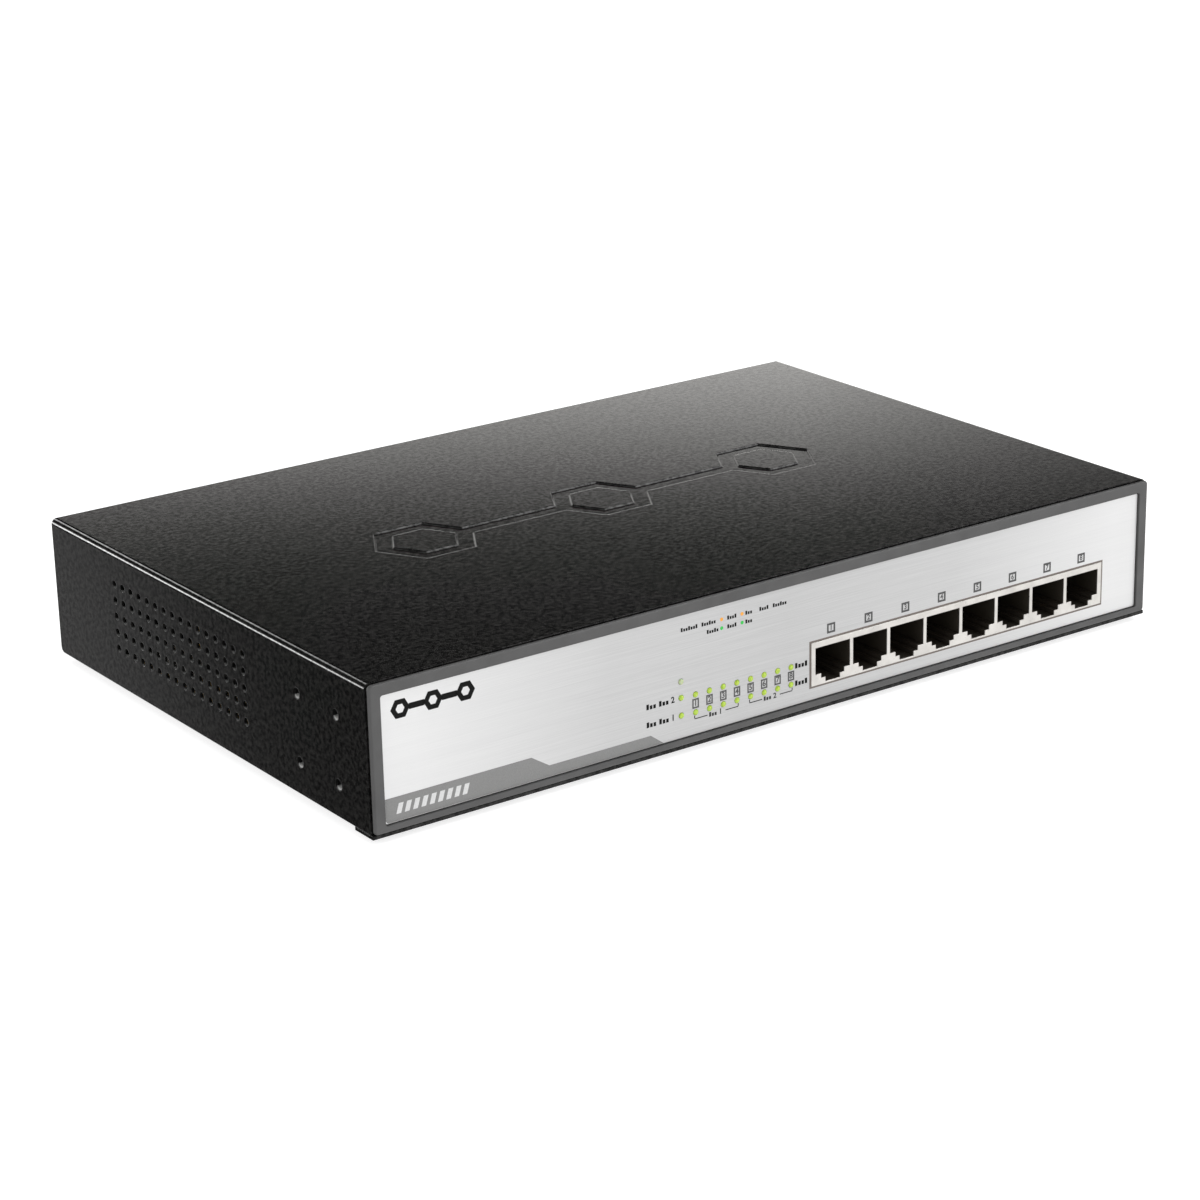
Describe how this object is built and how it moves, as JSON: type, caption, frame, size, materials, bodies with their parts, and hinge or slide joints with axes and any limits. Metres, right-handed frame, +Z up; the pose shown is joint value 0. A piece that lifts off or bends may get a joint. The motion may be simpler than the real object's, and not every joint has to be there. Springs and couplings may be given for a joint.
{
  "type": "desktop network switch",
  "caption": "Flat black steel network switch with a silver front plate, a row of latch-down jacks, light rows, side vents and rear fans.",
  "frame": {"origin": "on the desk under the centre of the overall footprint", "axes": "+X to the right seen from the front, +Y from front to back, +Z up"},
  "size_m": [0.28, 0.182, 0.0455],
  "materials": {
    "black_powder_coat": "fine-textured matt black powder coat",
    "zinc_plated_steel": "zinc plated sheet",
    "bezel_grey_plastic": "moulded mid-grey plastic, satin",
    "silver_faceplate": "silver faceplate with a fine horizontal brush",
    "foot_rubber": "matt black rubber",
    "screw_steel": "nickel plated",
    "screw_brass": "plain brass",
    "shield_tin": "tin plated sheet, slightly warm",
    "jack_black_plastic": "moulded black plastic",
    "contact_gold": "gold plated wire",
    "board_green": "green solder mask on glass laminate",
    "board_tan": "tan paper laminate",
    "insulator_film": "milky polyester film",
    "standoff_brass": "turned brass",
    "led_package": "clear-topped light package",
    "light_pipe_green": "clear moulded light pipe that shows yellow-green",
    "chip_black": "moulded epoxy",
    "sink_black_anodised": "black anodised",
    "sink_aluminium": "extruded aluminium",
    "crystal_can": "nickel can",
    "inductor_grey": "moulded iron powder",
    "capacitor_sleeve": "shrink sleeve with an aluminium top",
    "header_white": "moulded nylon",
    "fuse_ceramic": "ceramic tube with nickel caps",
    "film_capacitor_yellow": "yellow box capacitor",
    "ferrite": "sintered ferrite",
    "copper_winding": "enamelled copper",
    "winding_tape": "yellow polyester tape over the winding",
    "bobbin_plastic": "moulded phenolic",
    "inlet_black_plastic": "moulded black plastic",
    "pin_nickel": "nickel plated brass",
    "fan_black_plastic": "glass-filled black plastic",
    "stator_steel": "laminated steel with varnished coils",
    "bearing_bronze": "oiled sintered bronze",
    "shaft_steel": "ground steel",
    "wire_black": "black insulated wire",
    "wire_green": "green insulated earth wire",
    "wire_red": "red insulated wire"
  },
  "bodies": {
    "chassis": {"ac_inlet": "inlet_black_plastic", "ac_leads": "wire_black", "base_tray": "black_powder_coat", "board_capacitors": "capacitor_sleeve", "board_screws": "screw_steel", "bridge_rectifier": "chip_black", "buck_inductors": "inductor_grey", "bulk_capacitor": "capacitor_sleeve", "clock_crystal": "crystal_can", "cover_screws": "screw_steel", "dc_harness": "wire_red", "earth_lead": "wire_green", "faceplate": "silver_faceplate", "fan_bearings": "bearing_bronze", "fan_frames": "fan_black_plastic", "fan_headers": "header_white", "fan_leads": "wire_black", "fan_stators": "stator_steel", "front_bezel": "bezel_grey_plastic", "front_panel": "zinc_plated_steel", "fuse": "fuse_ceramic", "ground_screw": "screw_brass", "indicator_leds": "led_package", "inlet_pins": "pin_nickel", "lan_transformers": "chip_black", "line_choke_core": "ferrite", "line_choke_winding": "copper_winding", "main_pcb": "board_green", "main_transformer_bobbin": "bobbin_plastic", "main_transformer_core": "ferrite", "main_transformer_winding": "winding_tape", "memory_chip": "chip_black", "optocoupler": "chip_black", "output_capacitors": "capacitor_sleeve", "output_rectifier": "chip_black", "poe_controllers": "chip_black", "port_light_pipes": "light_pipe_green", "power_header": "header_white", "power_mosfet": "chip_black", "primary_heatsink": "sink_aluminium", "psu_ac_header": "header_white", "psu_dc_header": "header_white", "psu_insulator": "insulator_film", "psu_pcb": "board_tan", "rear_wall_screws": "screw_steel", "rj45_contacts": "contact_gold", "rj45_housing": "jack_black_plastic", "rj45_shield": "shield_tin", "rubber_feet": "foot_rubber", "secondary_heatsink": "sink_aluminium", "standoffs": "standoff_brass", "status_light_pipes": "light_pipe_green", "switch_chip": "chip_black", "switch_heatsink": "sink_black_anodised", "top_cover": "black_powder_coat", "x_capacitor": "film_capacitor_yellow"},
    "fan_wheel_left": {"fan_rotor_left": "fan_black_plastic", "fan_shaft_left": "shaft_steel"},
    "fan_wheel_right": {"fan_rotor_right": "fan_black_plastic", "fan_shaft_right": "shaft_steel"}
  },
  "joints": [
    {"name": "fan_left_spin", "type": "hinge", "parent": "chassis", "child": "fan_wheel_left", "pos_m": [0.058, 0.0871, 0.0234], "axis": [0, 1, 0], "continuous": true},
    {"name": "fan_right_spin", "type": "hinge", "parent": "chassis", "child": "fan_wheel_right", "pos_m": [0.104, 0.0871, 0.0234], "axis": [0, 1, 0], "continuous": true}
  ]
}
